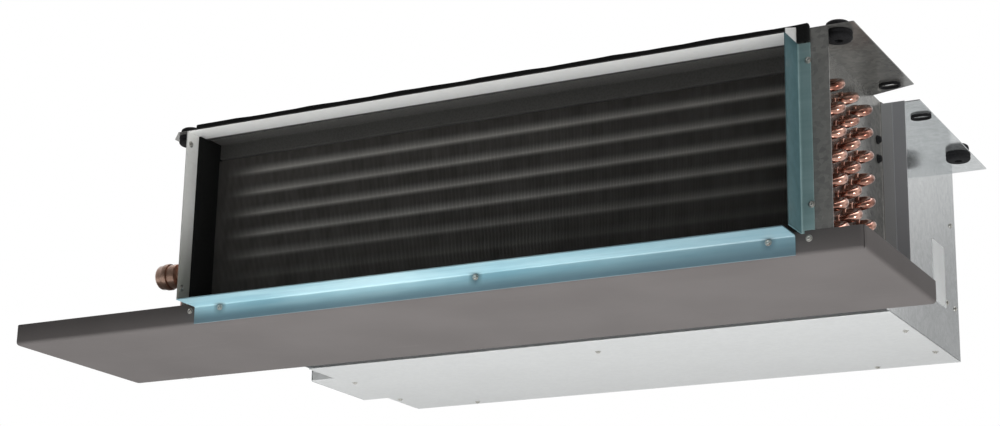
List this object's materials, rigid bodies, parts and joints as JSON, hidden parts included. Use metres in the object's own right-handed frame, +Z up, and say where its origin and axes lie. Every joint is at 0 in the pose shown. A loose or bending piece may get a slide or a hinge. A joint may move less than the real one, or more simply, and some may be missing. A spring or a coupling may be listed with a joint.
{
  "type": "fan coil unit",
  "caption": "Concealed ducted fan coil unit with a finned water coil, outlet collar, drain pan, twin centrifugal fans, filter and ceiling hanging ears",
  "frame": {"origin": "centre of the four hanger grommet holes, on the top face of the hanging ears", "axes": "+X to the right seen from the outlet, +Y from the outlet to the intake, +Z up"},
  "size_m": [1.055, 0.578, 0.248],
  "materials": {
    "galvanised": "galvanised sheet, satin with faint spangle",
    "pale_strip": "bright galvanised strip, nearly white",
    "blue_strip": "galvanised strip with a pale blue protective film",
    "black_foam": "closed-cell black foam",
    "fins": "thin corrugated aluminium fins, dark in the depth",
    "copper": "copper tube, slightly tarnished",
    "brass": "cast and turned brass",
    "pan_grey": "grey coated sheet steel",
    "white_plastic": "plain white plastic",
    "black_plastic": "black moulded plastic",
    "motor_grey": "grey motor casing",
    "shaft_steel": "ground steel shaft",
    "black_rubber": "black rubber",
    "filter_frame": "mill-finish frame",
    "filter_cloth": "white filter cloth",
    "zinc_screws": "zinc-plated screw heads"
  },
  "bodies": {
    "casing": {"coil_end_right": "galvanised", "coil_end_left": "galvanised", "coil_top_panel": "galvanised", "collar_left": "galvanised", "fan_side_right": "galvanised", "fan_side_left": "galvanised", "fan_top_panel": "galvanised", "fan_bottom_panel": "galvanised", "rear_bar": "galvanised", "fan_deck": "galvanised", "scroll_left": "galvanised", "scroll_right": "galvanised", "motor_cradle": "galvanised", "motor_straps": "galvanised", "electrical_box": "galvanised", "electrical_lid": "galvanised", "filter_rails": "galvanised", "collar_top": "pale_strip", "collar_bottom": "blue_strip", "collar_right": "blue_strip", "collar_gasket": "black_foam", "foam_liners": "black_foam", "fin_pack": "fins", "coil_tubes": "copper", "bends_right": "copper", "bends_left": "copper", "supply_header": "copper", "return_header": "copper", "supply_connection": "brass", "return_connection": "brass", "vent_body": "brass", "purge_body": "brass", "drain_pan": "pan_grey", "drain_spigot": "white_plastic", "capacitor": "white_plastic", "terminal_block": "white_plastic", "blank_plate": "white_plastic", "cable_gland": "black_plastic", "motor_body": "motor_grey", "motor_rings": "black_rubber", "hanger_grommets": "black_rubber", "end_plugs": "black_rubber", "casing_screws": "zinc_screws"},
    "rotor": {"motor_shaft": "shaft_steel", "wheel_left": "black_plastic", "wheel_right": "black_plastic"},
    "filter": {"filter_frame": "filter_frame", "filter_medium": "filter_cloth"},
    "vent": {"vent_screw": "brass"},
    "purge": {"purge_screw": "brass"}
  },
  "joints": [
    {"name": "rotor_spin", "type": "hinge", "parent": "casing", "child": "rotor", "pos_m": [0, 0.16, -0.125], "axis": [1, 0, 0], "continuous": true},
    {"name": "filter_slide", "type": "slide", "parent": "casing", "child": "filter", "axis": [1, 0, 0], "range_m": [0, 0.65]},
    {"name": "vent_turn", "type": "hinge", "parent": "casing", "child": "vent", "pos_m": [-0.428, -0.086, -0.03955], "axis": [-1, 0, 0], "range_deg": [0, 360]},
    {"name": "purge_turn", "type": "hinge", "parent": "casing", "child": "purge", "pos_m": [-0.428, -0.086, -0.19195], "axis": [-1, 0, 0], "range_deg": [0, 360]}
  ]
}
